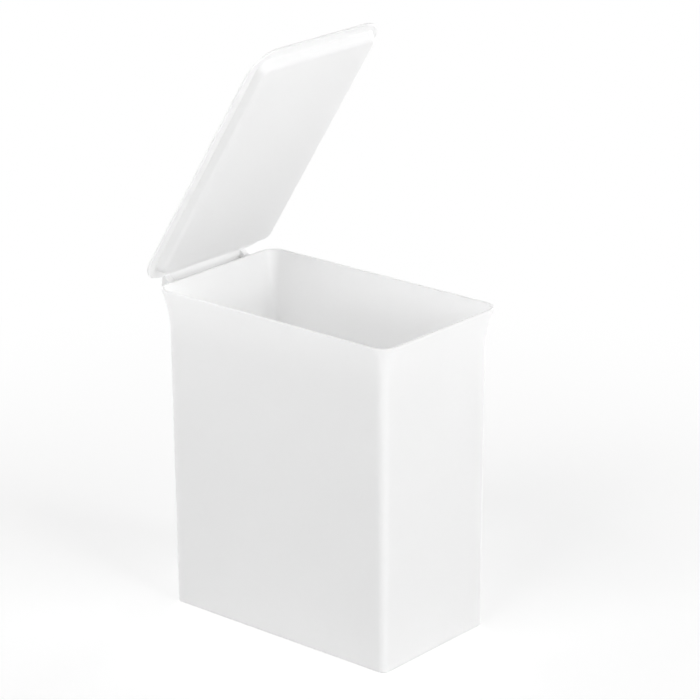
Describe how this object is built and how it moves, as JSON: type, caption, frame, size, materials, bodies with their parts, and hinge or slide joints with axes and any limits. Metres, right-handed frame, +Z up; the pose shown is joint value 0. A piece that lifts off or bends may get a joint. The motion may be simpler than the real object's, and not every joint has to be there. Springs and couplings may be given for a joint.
{
  "type": "detergent storage box",
  "caption": "Tall narrow white plastic box with a flared open mouth and a sunk lid on a hinge at one short end, for keeping laundry detergent.",
  "frame": {"origin": "middle of the base, on the surface that the box stands on", "axes": "+Z up; X along the long side of the box, with the hinge at the -X end; Y across the narrow way"},
  "size_m": [0.1863, 0.1108, 0.3548],
  "materials": {
    "white_plastic": "satin"
  },
  "bodies": {
    "box": {"box_body": "white_plastic"},
    "lid": {"lid": "white_plastic"}
  },
  "joints": [
    {"name": "lid_hinge", "type": "hinge", "parent": "box", "child": "lid", "pos_m": [-0.0936, 0, 0.1943], "axis": [0, -1, 0], "range_deg": [-58, 52]}
  ]
}
